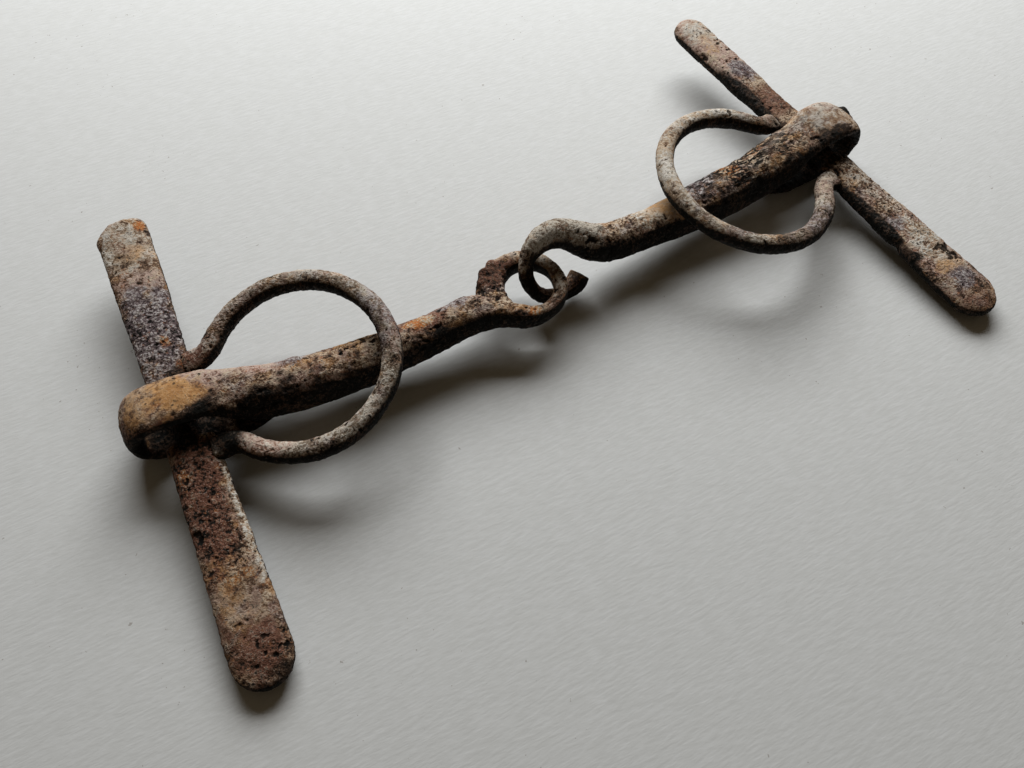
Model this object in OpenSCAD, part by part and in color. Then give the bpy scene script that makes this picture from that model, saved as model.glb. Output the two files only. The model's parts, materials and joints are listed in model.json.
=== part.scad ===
// Jointed snaffle bit with cheek bars: a forged iron mouthpiece in two arms that are
// linked by a ring and a hook, a cheek bar through each outer eye, and a D-shaped rein
// ring forged to the inner edge of each bar.
// It lies flat: +X runs along the mouthpiece, +Z is up and the eyes rest on z = 0.

/* [Mouthpiece] */
// Distance between the axes of the two cheek bars
bar_spacing = 184.4; // [184:0.2:184.8]
// Angle in plan between the left arm and the line through the two eyes
left_arm_angle = 4.5; // [4.3:0.1:4.7]
// Angle in plan between the right arm and the line through the two eyes
right_arm_angle = 2.7; // [2.5:0.1:2.9]
// How far the left arm bows towards the near side
left_arm_bow = 4; // [3:0.1:4.5]
// How far the right arm bows towards the near side
right_arm_bow = 1.6; // [1:0.1:2.5]
// Thickness of the rod at its thickest, near the eye
rod_d = 12.8; // [12:0.1:13.2]
// Thickness of the rod where the joint begins
rod_tip_d = 10; // [9.4:0.1:10.6]
// Height of the rod's axis at mid length
rod_sag_z = 7.8; // [7.6:0.1:8.2]

/* [Eyes] */
// Height of the rolled eye, outside
eye_h = 17.3; // [16.9:0.1:17.7]
// Length of the rolled eye beyond the bar's axis
eye_reach = 13.5; // [13.2:0.1:13.9]
// Width of the strap that forms the eye
eye_w = 13; // [12:0.1:13.2]
// Thickness of the strap
strap_t = 4.4; // [4:0.1:4.6]
// How deep the foot under the eye is worn
eye_wear = 0.35; // [0.2:0.05:0.5]

/* [Centre joint] */
// Distance from the left bar's axis to the ring's centre
ring_x = 88; // [87.6:0.1:88.4]
// Mean radius of the ring
ring_r = 8.6; // [8.4:0.1:8.8]
// Width of the ring's wire, in the ring's plane
ring_w = 4.1; // [3.8:0.1:4.3]
// Height of the ring's wire
ring_h = 5.4; // [5:0.1:5.6]
// Height of the ring's plane
ring_z = 9; // [8.8:0.1:9.2]
// Distance from the right bar's axis to the hook's centre
hook_x = 87.5; // [87.2:0.1:87.8]
// Mean radius of the hook
hook_r = 8.3; // [8.2:0.1:8.5]
// Thickness of the hook at its thinnest
hook_w = 4; // [3.8:0.1:4.2]
// Height of the hook's centre
hook_z = 10.4; // [10.3:0.1:10.6]
// Lean of the hook's plane away from upright, towards the far side
hook_lean = 31; // [29:1:33]

/* [Cheek bars] */
// Length of a bar from the eye to its far end
bar_far = 59; // [56:1:62]
// Length of a bar from the eye to its near end
bar_near = 66; // [63:1:69]
// Width of the left bar next to its eye
left_bar_w = 11.4; // [11:0.1:12]
// Width of the right bar next to its eye
right_bar_w = 10; // [9.6:0.1:11]
// Width of the left bar at its far end
left_far_w = 13.2; // [12.6:0.1:13.8]
// Width of the left bar at its near end
left_near_w = 13.4; // [12:0.1:14]
// Width of the right bar at its far end
right_far_w = 10.8; // [10:0.1:12]
// Width of the right bar at its near end
right_near_w = 13.6; // [12:0.1:14]
// Thickness of the bars
bar_t = 4.6; // [4.2:0.1:5]
// Shape of the left bar's far end, from square to round
left_far_round = 0.6; // [0.5:0.05:1]
// Radius of the round neck inside the eye
neck_r = 2.9; // [2.6:0.05:3]
// Half length of the neck
neck_half = 7.7; // [7.6:0.1:8]

/* [Rein rings] */
// Mean radius of the left rein ring's bow
left_bow_r = 22.2; // [21.8:0.1:22.6]
// Mean radius of the right rein ring's bow
right_bow_r = 23.2; // [22.8:0.1:23.6]
// Distance from the bar's axis to the bow's centre
bow_x = 29.4; // [29.1:0.1:29.6]
// How far the left bow is skewed towards the near side
left_bow_skew = 1.5; // [0:0.1:2]
// How far the right bow is skewed towards the near side
right_bow_skew = 0.9; // [0:0.1:2]
// Thickness of the rein ring's wire
bow_wire_d = 5.2; // [4.8:0.1:5.3]
// Angle at which the rein ring lies on its arm
bow_rise = 10.5; // [10.4:0.1:11.5]

/* [Hidden] */

$fn = 48;
// Corners of one section of a forged rod
SECTION_SIDES = 20;
// Middle of each bar's axis, the turn of the bar in plan and the rise of its far end
LEFT_BAR = [-bar_spacing / 2, 3.65, 8];
RIGHT_BAR = [bar_spacing / 2, 3.05, 7.9];
LEFT_BAR_TURN = -2.3;
RIGHT_BAR_TURN = 6.5;
LEFT_BAR_RISE = 4.7;
RIGHT_BAR_RISE = 4.1;
// The bow stops this far round from the bar's side, where its feet begin
FOOT_TURN = 40;
FOOT_R = 7;
// A foot ends this far from the bar's axis, just inside the bar's edge
FOOT_END = 4.4;
// A foot is hammered this much thinner and wider where it meets the bar
FOOT_THIN = 0.5;
FOOT_SPREAD = 0.7;

RUST = [0.42, 0.30, 0.22];
DARK_RUST = [0.27, 0.20, 0.17];
PALE_RUST = [0.55, 0.47, 0.38];

// Bezier point and list joining
function bezier(p, t) = pow(1 - t, 3) * p[0] + 3 * pow(1 - t, 2) * t * p[1]
    + 3 * (1 - t) * t * t * p[2] + pow(t, 3) * p[3];
function blend(a, b, t) = a + (b - a) * t;
function ease(t) = t * t * (3 - 2 * t);
function unit(v) = v / norm(v);
function bulge(c, s) = sign(c) * pow(abs(c), s);

// Outline of a section: half width, half height and squareness (1 is an ellipse)
function outline(half_w, half_h, square) = [for (k = [0 : SECTION_SIDES - 1])
    let (a = 360 * k / SECTION_SIDES)
    [half_w * bulge(cos(a), square), half_h * bulge(sin(a), square)]];

// A station along a forged rod is [centre, wide, half width, half height, squareness].
// The width lies along the unit vector wide, and the height square to it and to the path.
function heading(st, i) = unit(st[min(i + 1, len(st) - 1)][0] - st[max(i - 1, 0)][0]);
function section(st, i) = let (
        high = unit(cross(heading(st, i), st[i][1])))
    [for (q = outline(st[i][2], st[i][3], st[i][4])) st[i][0] + q[0] * st[i][1] + q[1] * high];
// What would reach below the surface that the eyes rest on is worn flat
function worn(p) = [p[0], p[1], max(p[2], 0)];
function rolled(roll) = [0, cos(roll), sin(roll)];

module forged_rod(st, flat_foot = false) {
    points = [for (i = [0 : len(st) - 1]) each section(st, i)];
    m = SECTION_SIDES;
    last = len(st) - 1;
    sides = [for (i = [0 : last - 1], k = [0 : m - 1])
        let (a = i * m + k, b = i * m + (k + 1) % m) [a, a + m, b + m, b]];
    start_cap = [for (k = [0 : m - 1]) k];
    end_cap = [for (k = [m - 1 : -1 : 0]) last * m + k];
    polyhedron(flat_foot ? [for (p = points) worn(p)] : points,
        concat([start_cap], sides, [end_cap]));
}

// ---- arms: each in its own frame, bar axis at x = 0, joint towards +X ----

loop_r = (eye_h - strap_t) / 2;
loop_x = -eye_reach + eye_h / 2;
loop_z = eye_h / 2 - eye_wear;
strap_half = strap_t / 2;
// Where the round rod begins, and the height of its axis there and at the joint
rod_start_x = 19;
rod_start_z = 9.6;
rod_end_z = 9;
// The bow of an arm begins this far from the bar's axis
BOW_START = 8;

// The arms bow sideways, most of all in the half next to the eye
function bow(x, reach, side) =
    side * sin(180 * pow(max(0, x - BOW_START) / (reach - BOW_START), 0.7));
function bowed(p, reach, side) = [p[0], bow(p[0], reach, side), p[1]];

// The strap's end is tucked under the rod and hammered thin
function eye_tail(reach, side) = [
    [bowed([19, 3.8], reach, side), rolled(0), 4.4, 0.6, 0.8],
    [bowed([15, 3], reach, side), rolled(0), 5.4, 1.3, 0.75],
    [bowed([11, 2.3], reach, side), rolled(0), 6.1, 2.1, 0.7],
    [bowed([6, 2], reach, side), rolled(0), eye_w / 2, 2.3, 0.65],
    [bowed([0, 2], reach, side), rolled(0), eye_w / 2, 2.3, 0.65]];
function eye_loop() = [for (a = [270 : -15 : 90])
    [[loop_x + loop_r * cos(a), 0, loop_z + loop_r * sin(a)], rolled(0), eye_w / 2,
        strap_half, 0.85]];
function eye_crown(reach, side) = let (
        p = [[loop_x, loop_z + loop_r], [7, loop_z + loop_r + 0.3],
            [11, rod_start_z + 1.9], [rod_start_x, rod_start_z]])
    [for (t = [0.12 : 0.11 : 1])
        [bowed(bezier(p, t), reach, side), rolled(0), eye_w / 2,
            blend(strap_half, rod_d / 2, ease(max(0, (t - 0.3) / 0.7))), blend(0.85, 0.95, t)]];
// The rod sags a little between the eye and the joint, and thins towards the joint
function rod(end_x, end_z, end_roll, reach, side) = [for (t = [0.1 : 0.1 : 1])
    let (x = blend(rod_start_x, end_x, t),
        z = bezier([rod_start_z, rod_sag_z, rod_sag_z, end_z], t),
        r = blend(rod_d, rod_tip_d, ease(pow(t, 1.4))) / 2)
    [bowed([x, z], reach, side), rolled(end_roll * t), r, r, 0.95]];
function eye_and_rod(end_x, end_z, end_roll, reach, side) = concat(eye_tail(reach, side),
    eye_loop(), eye_crown(reach, side), rod(end_x, end_z, end_roll, reach, side));

// Ring: the rod swings to the near side, runs once round and laps onto itself
RING_START = 235;
RING_SWEEP = 330;
RING_RUN_IN = 19;
RING_LAP_W = 8;
RING_LAP_OUT = 0.9;
RING_START_H = 7.2;
// The ring is forged in two lengths, so that the lapped one can run into the rod
RING_SPLIT = 150;
RING_OVERLAP = 12;
function ring_turn(turn, grow) = let (a = RING_START + turn, settle = ease(max(0, 1 - turn / 45)),
        lap = ease(max(0, (turn - RING_SPLIT) / 180)))
    [[ring_x + (ring_r + RING_LAP_OUT * lap) * cos(a),
        (ring_r + RING_LAP_OUT * lap) * sin(a), ring_z], rolled(90),
        blend(ring_h, RING_START_H, settle) / 2 + grow,
        (blend(ring_w, RING_LAP_W, lap) + 1.3 * settle) / 2 + grow, 0.8];
function ring_lap() = [for (turn = [RING_SPLIT - RING_OVERLAP : 12 : RING_SWEEP])
    ring_turn(turn, turn < RING_SPLIT ? -0.4 : 0.06)];
function ring_stations() = let (
        side_y = bow(ring_x - RING_RUN_IN, ring_x, -left_arm_bow),
        first = [ring_x + ring_r * cos(RING_START), ring_r * sin(RING_START)],
        along = [-sin(RING_START), cos(RING_START)],
        p = [[ring_x - RING_RUN_IN, side_y], [ring_x - RING_RUN_IN + 6, side_y + 0.4],
            first - 5 * along, first])
    concat(
        [for (t = [0.14 : 0.14 : 0.98]) let (q = bezier(p, t), s = ease(t))
            [[q[0], q[1], ring_z], rolled(90), blend(rod_tip_d, RING_START_H, s) / 2,
                blend(rod_tip_d, ring_w + 1.4, s) / 2, 0.9]],
        [for (turn = [6 : 12 : RING_SPLIT]) ring_turn(turn, 0)]);

// Hook: the rod rises over the ring's wire, dives through the ring and turns back under it
HOOK_START = 68;
HOOK_END = 328;
HOOK_RUN_IN = 23;
HOOK_NECK_W = 7.4;
HOOK_TIP_W = 6.4;
function hook_point(p, q) = [hook_x - p, -q * sin(hook_lean), hook_z + q * cos(hook_lean)];
function hook_stations() = let (
        rod_y = bow(hook_x - HOOK_RUN_IN, hook_x, right_arm_bow),
        start = [hook_x - HOOK_RUN_IN, rod_y, rod_end_z],
        first = hook_point(hook_r * cos(HOOK_START), hook_r * sin(HOOK_START)),
        before = hook_point(hook_r * cos(HOOK_START) + 6 * sin(HOOK_START),
            hook_r * sin(HOOK_START) - 6 * cos(HOOK_START)),
        p = [start, start + [12, 0, 0], before, first])
    concat(
        [for (t = [0.12 : 0.12 : 0.96]) let (s = ease(pow(t, 1.6)))
            [bezier(p, t), rolled(hook_lean), blend(rod_tip_d, HOOK_NECK_W, s) / 2,
                blend(rod_tip_d, HOOK_NECK_W, s) / 2, 0.9]],
        [for (a = [HOOK_START : 12 : HOOK_END])
            let (s = ease(min(1, (a - HOOK_START) / 95)),
                tip = ease(min(1, max(0, (a - 266) / 34))))
            [hook_point(hook_r * cos(a), hook_r * sin(a)), rolled(hook_lean),
                blend(blend(HOOK_NECK_W, hook_w, s), HOOK_TIP_W, tip) / 2,
                blend(HOOK_NECK_W, hook_w, s) / 2, blend(0.85, 0.6, tip)]]);

module left_mouth_arm() {
    color(RUST)
    translate([LEFT_BAR[0], LEFT_BAR[1], 0]) rotate([0, 0, -left_arm_angle]) {
        forged_rod(concat(
            eye_and_rod(ring_x - RING_RUN_IN, rod_end_z, 90, ring_x, -left_arm_bow),
            ring_stations()), flat_foot = true);
        forged_rod(ring_lap());
    }
}

module right_mouth_arm() {
    color(DARK_RUST)
    translate([RIGHT_BAR[0], RIGHT_BAR[1], 0]) rotate([0, 0, 180 + right_arm_angle])
    forged_rod(concat(
        eye_and_rod(hook_x - HOOK_RUN_IN, rod_end_z, hook_lean, hook_x, right_arm_bow),
        hook_stations()), flat_foot = true);
}

// ---- cheek bars and rein rings: bar along Y, mouthpiece towards +X, axis at z = 0 ----

// Puts its children at the left bar or the right bar, turned and tipped with that bar
module at_left_bar() {
    translate(LEFT_BAR) rotate([0, 0, LEFT_BAR_TURN]) rotate([LEFT_BAR_RISE, 0, 0]) children();
}
module at_right_bar() {
    translate(RIGHT_BAR) rotate([0, 0, 180 + RIGHT_BAR_TURN]) rotate([-RIGHT_BAR_RISE, 0, 0])
        children();
}

// Half of a bar: a hammered blade from the neck's shoulder to its rounded end
BLADE_START = 7.3;
TIP_STEPS = 6;
function blade_station(y, half_w, half_t) = [[0, y, 0], [1, 0, 0], half_w, half_t, 0.72];
module blade(length, root_w, end_w, end_round = 1) {
    tip_reach = end_w / 2 * end_round;
    tip_y = length - tip_reach;
    forged_rod(concat(
        [blade_station(BLADE_START, root_w * 0.4, bar_t * 0.42)],
        [for (t = [0 : 0.125 : 1]) blade_station(blend(neck_half, tip_y, t),
            blend(root_w, end_w, ease(t)) / 2, bar_t / 2)],
        [for (k = [1 : TIP_STEPS]) let (a = 87 * k / TIP_STEPS)
            blade_station(tip_y + tip_reach * pow(sin(a), end_round),
                end_w / 2 * pow(cos(a), end_round), bar_t / 2 * (0.35 + 0.65 * cos(a)))]));
}

module cheek_bar(up_length, up_w, down_length, down_w, root_w, up_round = 1) {
    blade(up_length, root_w, up_w, up_round);
    rotate([0, 0, 180]) blade(down_length, root_w, down_w);
    rotate([90, 0, 0]) cylinder(r = neck_r, h = 2 * neck_half + 1, center = true);
}

// Rein ring: one foot, the bow and the other foot, in the plane that the ring lies in.
// Each foot curves from the bow's end square onto the bar's edge, where it is lapped flat.
function bow_station(p, skew, lap) = [[p[0], p[1] + skew * p[0] / bow_x, 0], [0, 0, 1],
    bow_wire_d / 2 - FOOT_THIN * lap, bow_wire_d / 2 + FOOT_SPREAD * lap, 1];
function foot_stations(bow_r, skew, side) = let (
        centre = [bow_x - (bow_r + FOOT_R) * cos(FOOT_TURN), (bow_r + FOOT_R) * sin(FOOT_TURN)])
    concat(
        [bow_station([FOOT_END, side * (centre[1] - FOOT_R)], skew, 1)],
        [for (a = [0 : 10 : 90 - FOOT_TURN])
            let (p = centre + FOOT_R * [sin(a), -cos(a)])
            bow_station([p[0], side * p[1]], skew, ease(max(0, 1 - a / 30)))]);
function bow_stations(bow_r, skew) = [for (a = [-180 + FOOT_TURN + 7 : 7 : 180 - FOOT_TURN - 7])
    bow_station([bow_x + bow_r * cos(a), -bow_r * sin(a)], skew, 0)];
function reversed(list) = [for (i = [len(list) - 1 : -1 : 0]) list[i]];

module rein_ring(bow_r, skew) {
    rotate([0, -bow_rise, 0])
    forged_rod(concat(foot_stations(bow_r, skew, 1), bow_stations(bow_r, skew),
        reversed(foot_stations(bow_r, skew, -1))));
}

module left_cheek_bar() {
    color(RUST) at_left_bar()
        cheek_bar(bar_far, left_far_w, bar_near, left_near_w, left_bar_w, left_far_round);
}
module right_cheek_bar() {
    color(RUST) at_right_bar()
        cheek_bar(bar_near, right_near_w, bar_far, right_far_w, right_bar_w);
}
module left_rein_ring() {
    color(PALE_RUST) at_left_bar() rein_ring(left_bow_r, -left_bow_skew);
}
module right_rein_ring() {
    color(PALE_RUST) at_right_bar() rein_ring(right_bow_r, right_bow_skew);
}

left_mouth_arm();
right_mouth_arm();
left_cheek_bar();
right_cheek_bar();
left_rein_ring();
right_rein_ring();
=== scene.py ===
"""Looks of an old hand-forged snaffle bit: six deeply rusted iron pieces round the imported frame."""
import itertools
import json
import math

import bpy
import numpy as np
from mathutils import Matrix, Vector
from mathutils.bvhtree import BVHTree


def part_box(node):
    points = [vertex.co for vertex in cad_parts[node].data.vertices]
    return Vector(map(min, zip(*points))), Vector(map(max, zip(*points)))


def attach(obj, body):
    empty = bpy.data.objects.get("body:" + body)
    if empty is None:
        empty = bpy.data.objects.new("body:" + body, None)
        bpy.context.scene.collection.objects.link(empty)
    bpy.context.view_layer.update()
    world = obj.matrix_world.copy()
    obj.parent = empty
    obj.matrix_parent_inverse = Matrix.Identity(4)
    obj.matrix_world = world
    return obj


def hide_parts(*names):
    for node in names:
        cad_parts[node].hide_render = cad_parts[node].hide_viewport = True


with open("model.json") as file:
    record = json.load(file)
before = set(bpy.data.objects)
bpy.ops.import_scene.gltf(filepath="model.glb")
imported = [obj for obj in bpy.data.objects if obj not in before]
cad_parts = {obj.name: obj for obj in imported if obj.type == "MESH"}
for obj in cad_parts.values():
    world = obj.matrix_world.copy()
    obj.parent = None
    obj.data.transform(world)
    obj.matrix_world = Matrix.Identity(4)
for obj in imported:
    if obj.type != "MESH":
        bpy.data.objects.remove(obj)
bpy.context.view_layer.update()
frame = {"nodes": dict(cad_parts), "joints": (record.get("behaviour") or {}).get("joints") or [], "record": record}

MM = 0.001
scene = bpy.context.scene
joints = {j["name"]: j for j in frame["joints"]}

# Edge of the voxels that the pieces are rebuilt from, in millimetres
VOXEL = 0.28
# Smoothing passes over a whole piece, and over an eye, whose edges are worn round
WORN = 8
EYE_WORN = 45
# Faces turned this way, roughly towards the window light, are painted paler as painted light; faces turned away
# are painted black as painted shade with black scale, this black at most
LIGHT_SIDE = (0.12, 0.6, 0.79)
SHADE_AND_SCALE_BLACK = 0.85
# The pieces are this far apart in the noise, so that no two are alike
NOISE_STEP = 40.0
# Bark and flakes are drawn out along a piece's length
DRAWN_OUT = (0.5, 1, 1)
# Heights of the relief in millimetres, and how far it is sunk to stay within the forged size
WAVE = 0.28
CRUST = 0.20
BARK = 0.42
FLAKE = 0.15
BEAD = 0.24
PIT = 0.42
SUNK = 0.10
# Other bodies nearer than this are measured
NEAR = 3.0
# How near to another body rust and lumps stop growing, and how far off they are free to grow
RUST_ROOM = (0.2, 1.4)
LUMP_ROOM = (0.5, 2.2)
# Height that rust may reach close to another body, and what is added to it further off
CLOSE_LIMIT = 0.08
FREE_LIMIT = 0.7
# Share of a hollow's depth that is kept close to another body
CLOSE_HOLLOW = 0.35
# The least height of a piece over the floor
LIFT = 0.02
# The colour sockets of a Mix node
MIX_A, MIX_B, MIX_RESULT = 6, 7, 2

# ---- noise: everything below is in millimetres and gives the same result at every run ----

TURN = np.array([[0.36, 0.48, -0.80], [-0.80, 0.60, 0.00], [0.48, 0.64, 0.60]])


def random_at(cells, seed):
    """A random number from 0 to 1 for each row of three whole numbers."""
    c = cells.astype(np.int64)
    h = c[:, 0] * 374761393 + c[:, 1] * 668265263 + c[:, 2] * 1440662683 + seed * 974634777
    h = (h ^ (h >> 13)) * 1274126177
    h = (h ^ (h >> 15)) * 461845907
    return ((h ^ (h >> 16)) & 0xFFFFFF) / float(0xFFFFFF)


def noise(p, size, seed):
    """Smooth noise from -1 to 1 whose lumps are about size across."""
    q = p / size
    base = np.floor(q)
    w = q - base
    w = w * w * (3 - 2 * w)
    total = np.zeros(len(q))
    for corner in itertools.product((0, 1), repeat=3):
        share = np.where(corner, w, 1 - w).prod(axis=1)
        total += share * random_at(base + corner, seed)
    return 2 * total - 1


def fractal(p, size, octaves, seed, ridged=False):
    """Noise of several sizes added up, each half the last. Ridged noise has sharp crests."""
    total, weight, sum_of_weights = 0, 1.0, 0
    for octave in range(octaves):
        n = noise(p, size, seed + 7 * octave)
        total = total + weight * (1 - 2 * np.abs(n) * 1.25 if ridged else n)
        sum_of_weights += weight
        weight *= 0.55
        p = p @ TURN.T
        size *= 0.5
    return total / sum_of_weights


def scatter(p, size, seed):
    """Distance to the nearest of points scattered about size apart, counted in sizes, and a
    number from 0 to 1 that is that point's own."""
    q = p / size
    base = np.floor(q)
    nearest, own = np.full(len(q), 9.0), np.zeros(len(q))
    for step in itertools.product((-1, 0, 1), repeat=3):
        cell = base + step
        point = cell + np.stack([random_at(cell, seed + k) for k in range(3)], axis=1)
        away = np.linalg.norm(q - point, axis=1)
        closer = away < nearest
        nearest = np.where(closer, away, nearest)
        own = np.where(closer, random_at(cell, seed + 3), own)
    return nearest, own


def ramp(x, low, high):
    """0 below low, 1 above high and smooth between; the other way round if low is above high."""
    t = np.clip((x - low) / (high - low), 0, 1)
    return t * t * (3 - 2 * t)


# ---- places: each piece has its own axes, taken from the frame's joints ----


def unit(v):
    v = np.asarray(v, float)
    return v / np.linalg.norm(v)


def arm_axes(swivel):
    """From below the eye's centre: along the arm to the centre joint, to the far side, up."""
    start = np.array(joints[swivel]["pos_m"]) / MM * [1, 1, 0]
    end = np.array(joints["centre_fold"]["pos_m"]) / MM
    along = unit((end - start) * [1, 1, 0])
    across = unit(np.array([0, 1, 0]) - along[1] * along)
    return start, np.array([along, across, [0, 0, 1]])


def bar_axes(swivel):
    """From the eye's centre: along the bar to its far end, inwards to the mouth, up."""
    start = np.array(joints[swivel]["pos_m"]) / MM
    along = unit(joints[swivel]["axis"])
    inwards = np.array([-np.sign(start[0]), 0, 0])
    inwards = unit(inwards - (inwards @ along) * along)
    up = np.cross(along, inwards)
    return start, np.array([along, inwards, up * np.sign(up[2])])


# ---- surfaces ----

LAYERS = ("smooth", "grain", "bark", "flaky", "deep", "grey", "pink", "pale", "purple", "ochre",
    "orange", "black")


def rebuilt(node):
    """A fine, even copy of a CAD node's mesh, as an object of its own."""
    piece = bpy.data.objects.new(node + "_iron", frame["nodes"][node].data.copy())
    scene.collection.objects.link(piece)
    remesh = piece.modifiers.new("even", "REMESH")
    remesh.mode = "VOXEL"
    remesh.voxel_size = VOXEL * MM
    shape = piece.evaluated_get(bpy.context.evaluated_depsgraph_get())
    mesh = bpy.data.meshes.new_from_object(shape)
    piece.modifiers.clear()
    piece.data = mesh
    mesh.shade_smooth()
    return piece


def read(mesh, what):
    values = np.zeros(len(mesh.vertices) * 3, np.float32)
    mesh.vertices.foreach_get(what, values)
    return values.reshape(-1, 3).astype(float)


def write(mesh, points):
    mesh.vertices.foreach_set("co", (points * MM).ravel().astype(np.float32))
    mesh.update()


def wear(mesh, share, times):
    """Moves every point towards the middle of its neighbours, by its share, so many times."""
    ends = np.zeros(len(mesh.edges) * 2, np.int32)
    mesh.edges.foreach_get("vertices", ends)
    one, other = ends[0::2], ends[1::2]
    here, there = np.concatenate([one, other]), np.concatenate([other, one])
    p = read(mesh, "co") / MM
    count = np.bincount(here, minlength=len(p))
    for _ in range(times):
        middle = np.stack([np.bincount(here, p[there, k], len(p)) for k in range(3)], axis=1)
        p += 0.5 * share[:, None] * (middle / count[:, None] - p)
    write(mesh, p)


def gap_to(others, points, limit):
    """How far each point is from the nodes named in others, up to limit."""
    gap = np.full(len(points), limit)
    for node in others:
        mesh = frame["nodes"][node].data
        tree = BVHTree.FromPolygons([v.co / MM for v in mesh.vertices],
            [tuple(f.vertices) for f in mesh.polygons])
        low, high = (np.array(c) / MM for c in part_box(node))
        inside = np.all((points > low - limit) & (points < high + limit), axis=1)
        for i in np.nonzero(inside)[0]:
            hit = tree.find_nearest(Vector(points[i]), limit)
            if hit[3] is not None and hit[3] < gap[i]:
                gap[i] = hit[3]
    return gap


def patches(place, ragged, spots):
    """Each layer's strength from 0 to 1: soft ragged blots round the spots that name it."""
    masks = {layer: np.zeros(len(place)) for layer in LAYERS}
    for layer, centre, radii, strength in spots:
        away = np.linalg.norm((place - centre) / radii, axis=1)
        blot = strength * ramp(away + 0.5 * ragged, 1.3, 0.5)
        masks[layer] = np.maximum(masks[layer], blot)
    return masks


def bent(place, bends):
    """Moves the surface near each bend's centre by the bend's step, less and less further off."""
    moved = place.copy()
    for centre, radii, step in bends:
        away = np.linalg.norm((place - centre) / radii, axis=1)
        moved += ramp(away, 1.0, 0.1)[:, None] * step
    return moved


def relief(q, grown, masks, ragged, seed):
    """What rust does to a surface: its height in millimetres, what stands proud, and its pits."""
    smooth = masks["smooth"]
    wave = fractal(q, 10, 2, seed + 1)
    crust = fractal(q, 2.4, 3, seed + 2, ridged=True)
    swirl = 0.6 * np.stack([ragged, -ragged, ragged], axis=1)
    bark = fractal(grown + swirl, 2.1, 3, seed + 3, ridged=True)
    steps = fractal(grown, 6.0, 3, seed + 4) * 3.2
    flakes = np.floor(steps) + ramp(steps % 1, 0.40, 0.60)
    bead, bead_own = scatter(q, 0.95, seed + 5)
    beads = (0.75 - bead) * (0.4 + 0.9 * bead_own)
    holes = fractal(q, 1.5, 3, seed + 6) + 0.35 * fractal(q, 6.5, 1, seed + 8)
    pits = ramp(holes, 0.38, 0.75) * (1 - 0.6 * smooth)
    height = (WAVE * wave
        + CRUST * (1 - 0.85 * smooth) * crust
        + BARK * masks["bark"] * bark
        + FLAKE * masks["flaky"] * flakes
        + BEAD * (0.25 + 0.95 * masks["grain"]) * (1 - smooth) * beads
        - PIT * pits)
    proud = 0.5 * crust * (1 - 0.6 * smooth) + 0.6 * masks["bark"] * bark \
        + 0.9 * (beads - 0.2) * (0.3 + 0.7 * masks["grain"]) - 1.2 * pits + 0.2 * ragged
    return height, proud, pits


def corroded(node, body, axes, spots, lumps, bends, seed, level=1.0, eye_reach=0):
    """Rebuilds one node with forging marks and rust, and says where each colour of rust lies.
    Level scales the relief, and an eye's edges are worn round up to eye_reach along the arm."""
    piece = rebuilt(node)
    mesh = piece.data
    start, turn = axes
    wear(mesh, np.ones(len(mesh.vertices)), WORN)
    if eye_reach:
        place = (read(mesh, "co") / MM - start) @ turn.T
        wear(mesh, ramp(place[:, 0], eye_reach, eye_reach / 2), EYE_WORN)
    p, normal = read(mesh, "co") / MM, read(mesh, "normal")
    others = [n for b, names in frame["record"]["behaviour"]["bodies"].items() if b != body
        for n in names]
    gap = gap_to(others, p, NEAR)
    place = (p - start) @ turn.T
    q = p + NOISE_STEP * seed
    grown = place * DRAWN_OUT + NOISE_STEP * seed
    ragged = fractal(q, 3.4, 3, seed)
    masks = patches(place, ragged, spots)
    height, proud, pits = relief(q, grown, masks, ragged, seed)

    # Rust grows less where another piece is near
    free = ramp(gap, *RUST_ROOM)
    rise = level * height - SUNK
    limit = CLOSE_LIMIT + FREE_LIMIT * free
    hollow = rise * (CLOSE_HOLLOW + (1 - CLOSE_HOLLOW) * free)
    rise = np.where(rise > 0, limit * np.tanh(rise / limit), hollow)
    for centre, radius, lump in lumps:
        away = np.linalg.norm((place - centre) / radius, axis=1)
        rise += lump * ramp(away + 0.3 * ragged, 1.1, 0.2) * ramp(gap, *LUMP_ROOM)
    p = bent(place, bends) @ turn + start + normal * rise[:, None]
    p[:, 2] = np.maximum(p[:, 2], LIFT)
    write(mesh, p)

    # What stands proud is worn and pale. Faces turned to the light are painted paler as painted light, and faces
    # turned from it are painted black as painted shade with black scale
    facing_light = normal @ unit(LIGHT_SIDE)
    shade_and_scale = ramp(facing_light + 0.1 * ragged + 0.45 * masks["grey"], 0.42, -0.15)
    masks["black"] = np.maximum(masks["black"], SHADE_AND_SCALE_BLACK * shade_and_scale)
    masks["height"] = np.clip(0.5 + 0.42 * proud + 0.22 * facing_light, 0, 1)
    masks["pit"] = pits
    for name, values in masks.items():
        layer = mesh.attributes.new(name, "FLOAT", "POINT")
        layer.data.foreach_set("value", values.astype(np.float32))

    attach(piece, body)
    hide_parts(node)
    return piece


# ---- materials ----

BLACK = (0.006, 0.0055, 0.004)
DARK = (0.034, 0.021, 0.014)
UMBER = (0.080, 0.046, 0.029)
BROWN = (0.155, 0.088, 0.052)
TAN = (0.35, 0.235, 0.15)
SAND = (0.57, 0.45, 0.33)
PINK = (0.51, 0.37, 0.31)
ROSE = (0.32, 0.170, 0.120)
OCHRE = (0.46, 0.235, 0.090)
GOLD = (0.60, 0.34, 0.15)
ORANGE = (0.46, 0.155, 0.045)
ROAN = (0.150, 0.064, 0.040)
RUSSET = (0.24, 0.115, 0.075)
PLUM = (0.110, 0.080, 0.082)
MAUVE = (0.25, 0.200, 0.200)
LILAC = (0.46, 0.420, 0.410)
DUN = (0.23, 0.175, 0.125)
ASH = (0.53, 0.475, 0.40)
CHALK = (0.73, 0.68, 0.61)
CARD = (0.76, 0.765, 0.755)
PALE_CARD = (0.79, 0.795, 0.79)
DIM_CARD = (0.71, 0.712, 0.70)
DUST = (0.25, 0.20, 0.16)

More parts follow.
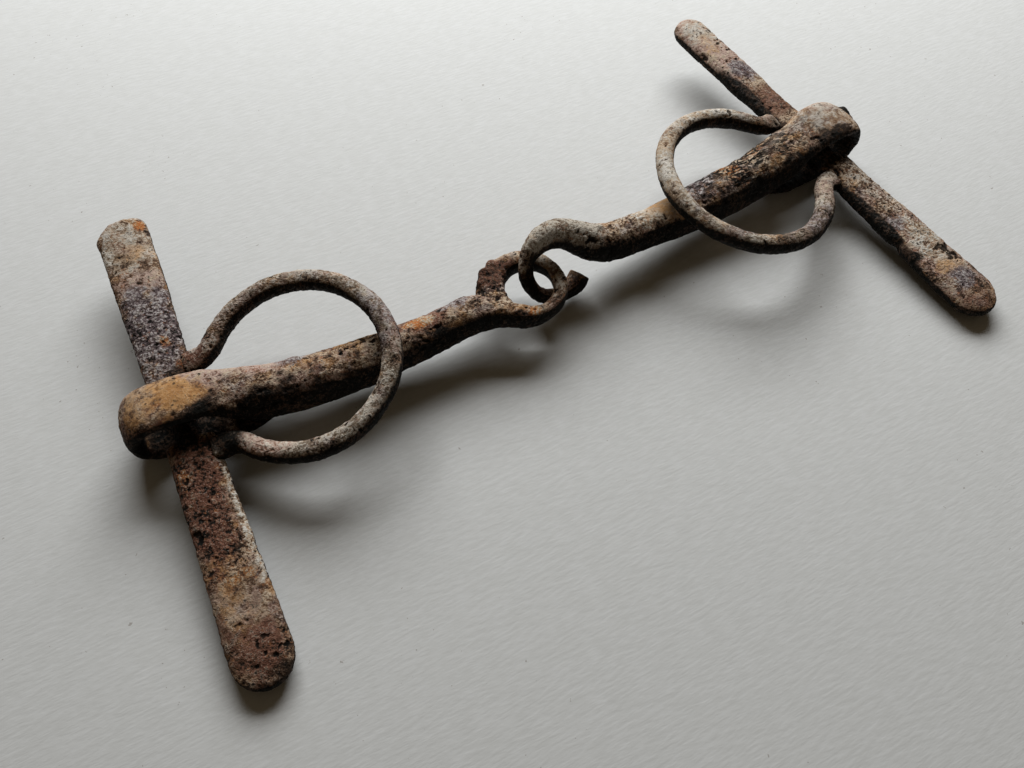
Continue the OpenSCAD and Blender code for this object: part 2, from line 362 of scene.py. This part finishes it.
# Colours of each kind of rust, from its hollows to what stands proud
SHADES = {
    "brown": (BLACK, DARK, UMBER, BROWN, TAN, SAND),
    "deep": (BLACK, BLACK, DARK, ROAN, ROAN, RUSSET),
    "grey": (BLACK, UMBER, DUN, DUN, ASH, ASH),
    "pink": (DARK, BROWN, ROSE, PINK, PINK, SAND),
    "pale": (UMBER, BROWN, TAN, SAND, ASH, CHALK),
    "purple": (BLACK, BLACK, PLUM, PLUM, MAUVE, LILAC),
    "ochre": (DARK, BROWN, OCHRE, OCHRE, GOLD, GOLD),
    "orange": (UMBER, BROWN, ORANGE, ORANGE, OCHRE, SAND),
    "black": (BLACK, BLACK, BLACK, BLACK, DARK, UMBER),
}
# Kinds of rust that come and go all over a piece: (kind, size of the patches, strength)
DRIFTS = (("ochre", 7, 0.55), ("pink", 8, 0.55), ("purple", 6, 0.5), ("deep", 5, 0.6))


class Nodes:
    """Short calls that add nodes to one material and join them up."""

    def __init__(self, name):
        self.material = bpy.data.materials.new(name)
        self.material.use_nodes = True
        self.tree = self.material.node_tree
        self.shader = self.tree.nodes["Principled BSDF"]
        self.place = self.add("ShaderNodeTexCoord").outputs["Object"]

    def add(self, kind, inputs=(), **settings):
        node = self.tree.nodes.new(kind)
        for name, value in settings.items():
            setattr(node, name, value)
        for name, value in dict(inputs).items():
            if isinstance(value, bpy.types.NodeSocket):
                self.tree.links.new(value, node.inputs[name])
            else:
                node.inputs[name].default_value = value
        return node

    def mask(self, layer):
        return self.add("ShaderNodeAttribute", attribute_name=layer).outputs["Fac"]

    def spaced(self, seed, squash=(1, 1, 1)):
        """The place on the piece, moved by seed so that no two noises are alike."""
        return self.add("ShaderNodeVectorMath", {0: self.place, 1: squash, 2: (seed, seed, seed)},
            operation="MULTIPLY_ADD").outputs[0]

    def speckle(self, size, detail=2.0, seed=0.0, squash=(1, 1, 1), swirl=0.0):
        """Noise from 0 to 1, mostly near 0.5, with grains of about size millimetres."""
        return self.add("ShaderNodeTexNoise", {"Vector": self.spaced(seed, squash),
            "Scale": 1 / (size * MM), "Detail": detail, "Roughness": 0.6,
            "Distortion": swirl}).outputs["Fac"]

    def beads(self, size, seed=0.0):
        """Distance to the nearest of many grains: 0 at a grain's middle, about 0.6 between them."""
        return self.add("ShaderNodeTexVoronoi", {"Vector": self.spaced(seed),
            "Scale": 1 / (size * MM)}).outputs["Distance"]

    def math(self, a, operation, b):
        return self.add("ShaderNodeMath", {0: a, 1: b}, operation=operation).outputs[0]

    def total(self, *terms, start=0.0):
        """Start plus the sum of share * socket over terms of the form (socket, share)."""
        result = start
        for socket, share in terms:
            scaled = self.add("ShaderNodeMath", {0: socket, 1: share, 2: result},
                operation="MULTIPLY_ADD")
            result = scaled.outputs[0]
        return result

    def between(self, value, low, high):
        """0 where value is at low or below, 1 at high or above."""
        return self.add("ShaderNodeMapRange", {"Value": value, "From Min": low, "From Max": high},
            interpolation_type="SMOOTHSTEP").outputs["Result"]

    def mix(self, share, a, b):
        node = self.add("ShaderNodeMix", {0: share}, data_type="RGBA")
        for socket, value in ((node.inputs[MIX_A], a), (node.inputs[MIX_B], b)):
            if isinstance(value, bpy.types.NodeSocket):
                self.tree.links.new(value, socket)
            else:
                socket.default_value = (*value, 1)
        return node.outputs[MIX_RESULT]

    def shades(self, value, colours):
        """A colour from a row of them, spread evenly over value from 0 to 1."""
        ramp_node = self.add("ShaderNodeValToRGB", {"Fac": value})
        stops = ramp_node.color_ramp.elements
        while len(stops) < len(colours):
            stops.new(0.5)
        for k, colour in enumerate(colours):
            stops[k].position = k / (len(colours) - 1)
            stops[k].color = (*colour, 1)
        return ramp_node.outputs["Color"]


def rust(name, seed, base="brown", squash=(1, 1, 1), specks=0.35):
    """Rusted iron: its shade follows the relief, the grain and the painted light and shade in the height and black
    masks, and each patch has its own shades.
    Squash is how much the bark's cracks are drawn out along each axis."""
    n = Nodes(name)
    tiny = n.speckle(0.35, detail=1, seed=seed)
    fine = n.speckle(0.7, seed=seed + 1, swirl=0.4)
    mid = n.speckle(2.6, detail=3, seed=seed + 2, swirl=0.6)
    broad = n.speckle(9, seed=seed + 3)
    grains = n.beads(0.8, seed=seed + 4)
    bark = n.speckle(1.9, seed=seed + 5, squash=squash, swirl=0.8)
    height, smooth, grainy = n.mask("height"), n.mask("smooth"), n.mask("grain")

    rough = n.total((fine, 1.1), (tiny, 0.5), (mid, 0.5), start=-1.05)
    even = n.total((smooth, -0.85), start=1.0)
    rough = n.math(rough, "MULTIPLY", even)
    gaps = n.math(n.total((grains, -1.0), start=0.42), "MULTIPLY",
        n.math(n.total((grainy, 0.7), start=0.1), "MULTIPLY", even))
    # The height mask carries painted light: faces turned to the light come out paler and faces turned from it
    # darker
    tone = n.total((rough, 1.7), (gaps, 1.2), (height, 0.95), (mid, 0.85), (broad, 1.1),
        start=-0.90)

    colour = n.shades(tone, SHADES[base])
    edge = n.total((fine, 0.9), (mid, 1.4), start=-1.15)
    for k, (kind, size, strength) in enumerate(DRIFTS):
        drift = n.total((n.speckle(size, detail=3, seed=seed + 7 + k, swirl=0.5), 1.0), (edge, 0.2))
        cover = n.math(n.between(drift, 0.52, 0.64), "MULTIPLY", strength)
        colour = n.mix(cover, colour, n.shades(tone, SHADES[kind]))
    for layer in ("deep", "grey", "pink", "pale", "purple", "ochre", "orange"):
        cover = n.between(n.total((n.mask(layer), 1.0), (edge, 1.1)), 0.15, 0.80)
        colour = n.mix(cover, colour, n.shades(tone, SHADES[layer]))
    warm = n.between(n.speckle(1.3, detail=3, seed=seed + 6), 0.58, 0.70)
    colour = n.mix(n.math(warm, "MULTIPLY", specks), colour, n.shades(tone, SHADES["orange"]))
    chalky = n.between(n.total((tiny, 1.0), (height, 0.3)), 0.82, 0.94)
    colour = n.mix(n.math(chalky, "MULTIPLY", 0.25), colour, CHALK)
    # Black scale, and painted shade where the black mask holds it on faces turned from the light
    shade_and_scale = n.between(n.total((n.mask("black"), 1.0), (edge, 1.1)), 0.15, 0.60)
    colour = n.mix(shade_and_scale, colour, n.shades(tone, SHADES["black"]))

    crease = n.math(n.total((bark, 1.0), start=-0.5), "ABSOLUTE", 0.0)
    crack = n.math(n.between(crease, 0.10, 0.025), "MULTIPLY",
        n.total((n.mask("bark"), 0.9), start=0.1))
    speck = n.between(n.total((mid, 1.0), (fine, 0.8)), 1.06, 1.16)
    speck = n.math(speck, "MULTIPLY", n.total((smooth, -0.5), start=0.85))
    pit = n.between(n.total((n.mask("pit"), 1.0), (fine, 0.8)), 0.55, 1.1)
    hollow = n.math(n.math(crack, "MAXIMUM", speck), "MAXIMUM", n.math(pit, "MULTIPLY", 0.85))
    colour = n.mix(hollow, colour, BLACK)
    n.tree.links.new(colour, n.shader.inputs["Base Color"])

    damp = n.math(n.mask("black"), "MULTIPLY", n.between(fine, 0.45, 0.62))
    matt = n.add("ShaderNodeMapRange", {"Value": damp, "To Min": 0.92, "To Max": 0.60})
    roughness = n.total((matt.outputs["Result"], 1.0), (tiny, 0.1))
    n.tree.links.new(roughness, n.shader.inputs["Roughness"])
    n.shader.inputs["Specular IOR Level"].default_value = 0.22

    grit = n.total((rough, 0.9), (gaps, 0.6), (hollow, -0.5), start=0.5)
    bump = n.add("ShaderNodeBump", {"Height": grit, "Strength": 0.9, "Distance": 0.4 * MM})
    n.tree.links.new(bump.outputs["Normal"], n.shader.inputs["Normal"])
    return n.material


def paint(piece, material):
    piece.data.materials.clear()
    piece.data.materials.append(material)


# ---- the six pieces: spots are (layer, centre, radii, strength) in the piece's own axes, lumps
# are (centre, radius, rise) and bends are (centre, radii, step) ----

LEFT_ARM_SPOTS = [
    ("smooth", (-2, 1, 13), (11, 9, 6), 0.9),
    ("ochre", (-1, 1, 14), (10, 7, 6), 0.5),
    ("ochre", (1, 0, 14), (7, 5.5, 5), 1.0),
    ("pale", (2, 1, 15), (4, 2.5, 3), 0.3),
    ("pink", (10, 4, 14), (10, 5, 5), 0.8),
    ("grain", (-12, 0, 8), (5, 8, 9), 0.6),
    ("deep", (-4, -6.5, 10), (11, 3, 8), 1.0),
    # Painted shade with black scale on the eye's near side and low in its hole
    ("black", (6, -6.4, 11), (7, 4.0, 8), 1.0),
    ("black", (1, -3, 5), (9.5, 8, 6.5), 1.0),
    ("black", (-6, -2, 3), (6, 8, 5), 0.55),
    ("pink", (19, 2, 12), (14, 5, 5), 0.95),
    ("smooth", (18, 3, 12), (12, 5, 5), 0.5),
    ("orange", (12, -3, 14), (2, 1.2, 2), 0.6),
    # Painted shade with black scale along the arm's near side, here and in the other black spots with a negative
    # across further down
    ("black", (18, -7.4, 9), (13, 4.2, 8), 1.0),
    ("black", (25, -4.8, 11), (4, 3.2, 5), 0.8),
    ("grain", (26, -3, 10), (14, 5, 6), 0.9),
    ("black", (29, -4, 8), (11, 3.6, 6), 0.9),
    ("purple", (27, 0, 12), (5, 4, 4), 0.6),
    ("black", (42, -8, 6), (22, 4, 6), 0.9),
    ("ochre", (42, 0, 12), (8, 4, 4), 0.45),
    ("deep", (61, 0, 12), (9, 6, 5), 0.8),
    ("orange", (59, -1.5, 12), (4.5, 2.5, 3), 0.9),
    ("black", (62, -5.2, 7), (17, 3.7, 6), 1.0),
    ("purple", (69, 1, 12), (6, 4, 4), 0.6),
    ("flaky", (72, 0, 11), (12, 7, 7), 0.9),
    ("grain", (78, 3, 10), (9, 8, 7), 1.0),
    ("deep", (79, 7, 11), (9, 5, 6), 1.0),
    ("black", (79, 6, 10), (8, 4, 6), 0.35),
    ("black", (88, -9, 8), (10, 4, 3.5), 0.7),
    ("orange", (86, -8.8, 11.5), (2.2, 1.5, 1.6), 0.9),
    ("smooth", (92, 0, 9), (8, 12, 5), 0.7),
    ("grey", (94, 0, 12), (7, 10, 3), 0.5),
]
RIGHT_ARM_SPOTS = [
    ("pale", (-3, 2, 14), (10, 8, 7), 0.4),
    ("pink", (-4, 5, 15), (6, 4, 5), 0.7),
    ("smooth", (-4, 2, 15), (11, 9, 7), 0.95),
    ("black", (-12.5, 2.5, 14), (2.2, 2.4, 2.6), 1.0),
    ("grain", (-9, -3, 12), (5, 6, 6), 0.7),
    ("bark", (24, 1, 11), (24, 9, 8), 1.0),
    ("grey", (16, -3, 11), (20, 5, 5), 0.55),
    ("purple", (40, 1, 12), (8, 5, 5), 0.7),
    # Painted shade with black scale on the arm's near side and low in the eye's hole, here and in the black spots
    # with a negative across further down
    ("black", (22, -7, 6), (32, 4.6, 8), 1.0),
    ("black", (0, -5, 5), (13, 6, 8), 1.0),
    ("black", (3, -5.0, 11), (16, 4.0, 7), 1.0),
    ("orange", (6, 5, 14), (2.5, 2, 3), 0.7),
    ("orange", (32, 1, 13), (4, 3, 3), 0.75),
    ("orange", (20, 3, 13), (5, 2, 3), 0.45),
    ("ochre", (53, 1, 12), (6, 5, 4), 0.6),
    ("pale", (57, 1, 13), (10, 5, 4), 0.9),
    ("smooth", (54, 1, 12), (7, 5, 4), 0.8),
    ("black", (54, -6, 6), (16, 3, 5), 0.9),
    ("flaky", (66, 0, 12), (8, 7, 7), 0.9),
    ("grain", (67, 0, 12), (9, 7, 7), 0.9),
    ("grey", (84, 3, 16), (13, 9, 7), 1.0),
    ("smooth", (88, 3, 12), (8, 11, 11), 0.3),
    ("black", (77, -3, 5), (6, 4, 4), 0.8),
]
LEFT_BAR_SPOTS = [
    ("pale", (50, 0, 2), (10, 9, 4), 0.6),
    ("smooth", (46, 0, 2), (12, 9, 4), 0.5),
    ("ochre", (47, 1, 2), (3, 4, 3), 0.4),
    ("orange", (55, 5, 2), (2.2, 1.6, 2), 0.8),
    ("pink", (38, 0, 2), (6, 7, 3), 0.6),
    ("purple", (24, 0, 2), (12, 9, 4), 0.9),
    ("grain", (20, 0, 2), (22, 9, 4), 0.9),
    ("purple", (12, 0, 2), (8, 9, 4), 0.6),
    ("orange", (19, 2, 2), (1.8, 1.6, 2), 0.6),
    ("orange", (11, 4, 2), (2.5, 1.5, 2), 0.5),
    ("grain", (-25, 0, 2), (20, 9, 4), 1.0),
    ("deep", (-22, -1, 2), (21, 7, 4), 1.0),
    # Painted shade where the bar runs through the eye
    ("black", (0, 0, 2), (10, 8, 7), 1.0),
    ("orange", (-17, -4, 2), (3, 2.5, 2), 0.5),
    ("pale", (-28, 5.8, 1), (17, 1.5, 3), 0.9),
    ("orange", (-42, 1, 2), (2, 5, 2), 0.45),
    ("deep", (-42, 0, 2), (12, 8, 3), 0.32),
    ("ochre", (-40, -1, 2), (5, 6, 3), 0.35),
    ("smooth", (-48, 0, 2), (8, 8, 3), 0.5),
    ("deep", (-58, 1, 2), (8, 7, 3), 0.7),
    ("black", (-64, 4, 1), (3, 4, 4), 0.5),
]
RIGHT_BAR_SPOTS = [
    ("pink", (44, 0, 2), (18, 8, 4), 0.8),
    ("pale", (50, -1, 2), (8, 6, 4), 0.6),
    ("smooth", (50, 0, 2), (10, 7, 4), 0.5),
    ("ochre", (45, 1, 2), (4, 3, 3), 0.4),
    ("purple", (32, -1, 2), (5, 4, 3), 0.8),
    ("deep", (18, 0, 2), (8, 8, 4), 0.6),
    ("black", (22, 4.8, 1), (16, 2.4, 4), 0.9),
    # Painted shade where the bar runs through the eye
    ("black", (0, 0, 2), (10, 8, 7), 1.0),
    ("grain", (-22, 0, 2), (18, 9, 4), 0.7),
    ("pink", (-44, 0, 2), (16, 8, 4), 0.7),
    ("pale", (-44, -1, 2), (12, 5, 4), 0.75),
    ("pale", (-20, -2, 2), (14, 4, 4), 0.4),
    ("black", (-28, 5.4, 1), (20, 2.2, 4), 0.9),
    ("purple", (-55, 0, 2), (4, 3.5, 3), 0.9),
    ("ochre", (-50, 0, 2), (3, 5, 3), 0.5),
    ("purple", (-33, 2, 2), (4, 3, 3), 0.6),
    ("deep", (-62, 2, 2), (5, 6, 4), 0.5),
]
LEFT_RING_SPOTS = [
    ("deep", (10, 22, 2), (14, 18, 14), 0.6),
    ("deep", (13, 8, 2), (5, 6, 14), 0.9),
    ("black", (-11, 8, 2), (5, 5, 14), 0.8),
    ("pale", (-12, 40, 2), (16, 10, 14), 0.5),
    ("purple", (0, 50, 2), (14, 9, 14), 0.6),
    ("pink", (-3, 53, 2), (10, 6, 14), 0.7),
    ("pale", (0, 32, 2), (32, 34, 14), 0.4),
    ("grain", (0, 30, 0), (40, 40, 10), 0.7),
    ("pink", (-16, 18, 2), (8, 12, 14), 0.8),
    ("ochre", (-18, 30, 2), (4, 4, 14), 0.4),
]
RIGHT_RING_SPOTS = [
    ("pale", (8, 45, 2), (30, 18, 14), 1.0),
    ("pale", (22, 22, 2), (8, 14, 14), 0.9),
    ("smooth", (8, 46, 2), (28, 18, 14), 0.6),
    ("grain", (-14, 22, 0), (14, 26, 10), 0.7),
    ("purple", (-20, 26, 2), (8, 12, 14), 0.5),
    ("pink", (-16, 10, 2), (8, 8, 14), 0.5),
]

LEFT_ARM_LUMPS = [
    ((79, 8, 12), (2.4, 2.2, 2.5), 1.1),
    ((77, 5, 12), (2.2, 2, 2), 0.8),
    ((82, 9.5, 11), (2.2, 1.8, 2), 0.9),
    ((76, 3, 13), (1.8, 1.6, 2), 0.7),
    ((28, 0, 13), (2.4, 2, 2), 0.5),
]
RIGHT_ARM_LUMPS = [
    ((-12.2, 2.5, 13.5), (2.0, 2, 2.4), 1.2),
    ((-12.5, 0, 12), (1.6, 1.8, 2), 0.6),
    ((73, 2.5, 17), (1.7, 1.6, 2), 0.9),
    ((66, 1, 14), (2.2, 2, 2), 0.5),
]
RIGHT_EYE_DOME = ((-1, 5, 15), (11, 7, 6), (0, 1.3, 0.9))
CUT_CORNER = ((59, -6.5, 0), (5, 5, 6), (-1.8, 1.0, 0))
RIGHT_BAR_NOTCH = ((-38, 6, 0), (3, 3, 5), (0, -1.0, 0))

left_arm = corroded("left_mouth_arm", "left_arm", arm_axes("left_cheek_swivel"),
    LEFT_ARM_SPOTS, LEFT_ARM_LUMPS, [], seed=1, eye_reach=14)
right_arm = corroded("right_mouth_arm", "right_arm",
    arm_axes("right_cheek_swivel"), RIGHT_ARM_SPOTS, RIGHT_ARM_LUMPS, [RIGHT_EYE_DOME], seed=2,
    eye_reach=14)
left_bar = corroded("left_cheek_bar", "left_cheek", bar_axes("left_cheek_swivel"),
    LEFT_BAR_SPOTS, [], [CUT_CORNER], seed=3, level=0.9)
right_bar = corroded("right_cheek_bar", "right_cheek", bar_axes("right_cheek_swivel"),
    RIGHT_BAR_SPOTS, [], [RIGHT_BAR_NOTCH], seed=4, level=0.9)
left_ring = corroded("left_rein_ring", "left_cheek", bar_axes("left_cheek_swivel"),
    LEFT_RING_SPOTS, [], [], seed=5, level=0.8)
right_ring = corroded("right_rein_ring", "right_cheek",
    bar_axes("right_cheek_swivel"), RIGHT_RING_SPOTS, [], [], seed=6, level=0.8)

paint(left_arm, rust("left_arm_rust", 1, squash=(0.5, 1, 1)))
paint(right_arm, rust("right_arm_rust", 2, squash=(0.5, 1, 1)))
bar_rust = rust("bar_rust", 3, squash=(1, 0.5, 1))
paint(left_bar, bar_rust)
paint(right_bar, bar_rust)
ring_rust = rust("ring_rust", 4, base="grey", specks=0.2)
paint(left_ring, ring_rust)
paint(right_ring, ring_rust)

# ---- floor, light and camera ----

# Lengths are in metres, angles in degrees and power in watts
FLOOR_SIZE = 3
FLOOR_LEVEL = -0.05 * MM
WINDOW_AZIMUTH = 25
WINDOW_ELEVATION = 36
WINDOW_DISTANCE = 0.62
WINDOW_SIZE = (0.58, 0.32)
WINDOW_POWER = 5.15
WINDOW_COLOUR = (0.985, 1.0, 1.0)
ROOM_COLOUR = (1.0, 0.76, 0.48)
ROOM_STRENGTH = 0.045
WALL_COLOUR = (0.11, 0.11, 0.107)
# The camera looks down at this point on the floor
CAMERA_AIM = Vector((-18.5, -21.5, 0)) * MM
CAMERA_AZIMUTH = 208.1
CAMERA_ELEVATION = 61
CAMERA_DISTANCE = 192.3 * MM
CAMERA_LENS = 27.07


def card_floor():
    """An off-white card that the bit lies on."""
    bpy.ops.mesh.primitive_plane_add(size=FLOOR_SIZE)
    floor = bpy.context.object
    floor.name = "floor"
    floor.location.z = FLOOR_LEVEL
    n = Nodes("card")
    fibres = n.speckle(0.9, detail=3, squash=(0.25, 1, 1))
    paper = n.mix(n.between(n.speckle(5, detail=4), 0.3, 0.7), CARD, PALE_CARD)
    paper = n.mix(n.math(n.between(fibres, 0.35, 0.65), "MULTIPLY", 0.5), paper, DIM_CARD)
    specks = n.total((n.speckle(1.6, seed=3), 1.0), (n.speckle(30, seed=4), 0.3))
    dust = n.math(n.between(specks, 0.89, 0.92), "MULTIPLY", 0.5)
    n.tree.links.new(n.mix(dust, paper, DUST), n.shader.inputs["Base Color"])
    n.shader.inputs["Roughness"].default_value = 0.9
    n.shader.inputs["Specular IOR Level"].default_value = 0.2
    bump = n.add("ShaderNodeBump", {"Height": fibres, "Strength": 0.35, "Distance": 0.2 * MM})
    n.tree.links.new(bump.outputs["Normal"], n.shader.inputs["Normal"])
    paint(floor, n.material)


def direction(azimuth, elevation):
    """The unit vector towards a place at that azimuth (0 is +Y, 90 is +X) and elevation."""
    a, e = math.radians(azimuth), math.radians(elevation)
    return Vector((math.sin(a) * math.cos(e), math.cos(a) * math.cos(e), math.sin(e)))


def window_light():
    """A broad soft light on the far side of the bit."""
    data = bpy.data.lights.new("window", "AREA")
    data.shape = "RECTANGLE"
    data.size, data.size_y = WINDOW_SIZE
    data.energy = WINDOW_POWER
    data.color = WINDOW_COLOUR
    light = bpy.data.objects.new("window", data)
    scene.collection.objects.link(light)
    towards = direction(WINDOW_AZIMUTH, WINDOW_ELEVATION)
    light.location = towards * WINDOW_DISTANCE
    light.rotation_euler = towards.to_track_quat("Z", "Y").to_euler()


def room_light():
    """Weak even light from all round. All that is seen of the room is a plain wall."""
    world = bpy.data.worlds.new("room")
    world.use_nodes = True
    tree = world.node_tree
    sky = tree.nodes["Background"]
    seen = tree.nodes.new("ShaderNodeLightPath")
    pick = tree.nodes.new("ShaderNodeMix")
    pick.data_type = "RGBA"
    pick.inputs[MIX_A].default_value = (*[ROOM_STRENGTH * c for c in ROOM_COLOUR], 1)
    pick.inputs[MIX_B].default_value = (*WALL_COLOUR, 1)
    tree.links.new(seen.outputs["Is Camera Ray"], pick.inputs[0])
    tree.links.new(pick.outputs[MIX_RESULT], sky.inputs["Color"])
    scene.world = world


def camera():
    data = bpy.data.cameras.new("camera")
    data.lens = CAMERA_LENS
    data.sensor_width = 36
    data.clip_start = 0.01
    cam = bpy.data.objects.new("camera", data)
    scene.collection.objects.link(cam)
    back = direction(CAMERA_AZIMUTH, CAMERA_ELEVATION)
    cam.location = CAMERA_AIM + back * CAMERA_DISTANCE
    cam.rotation_euler = back.to_track_quat("Z", "Y").to_euler()
    scene.camera = cam


card_floor()
window_light()
room_light()
camera()
scene.view_settings.view_transform = "Standard"
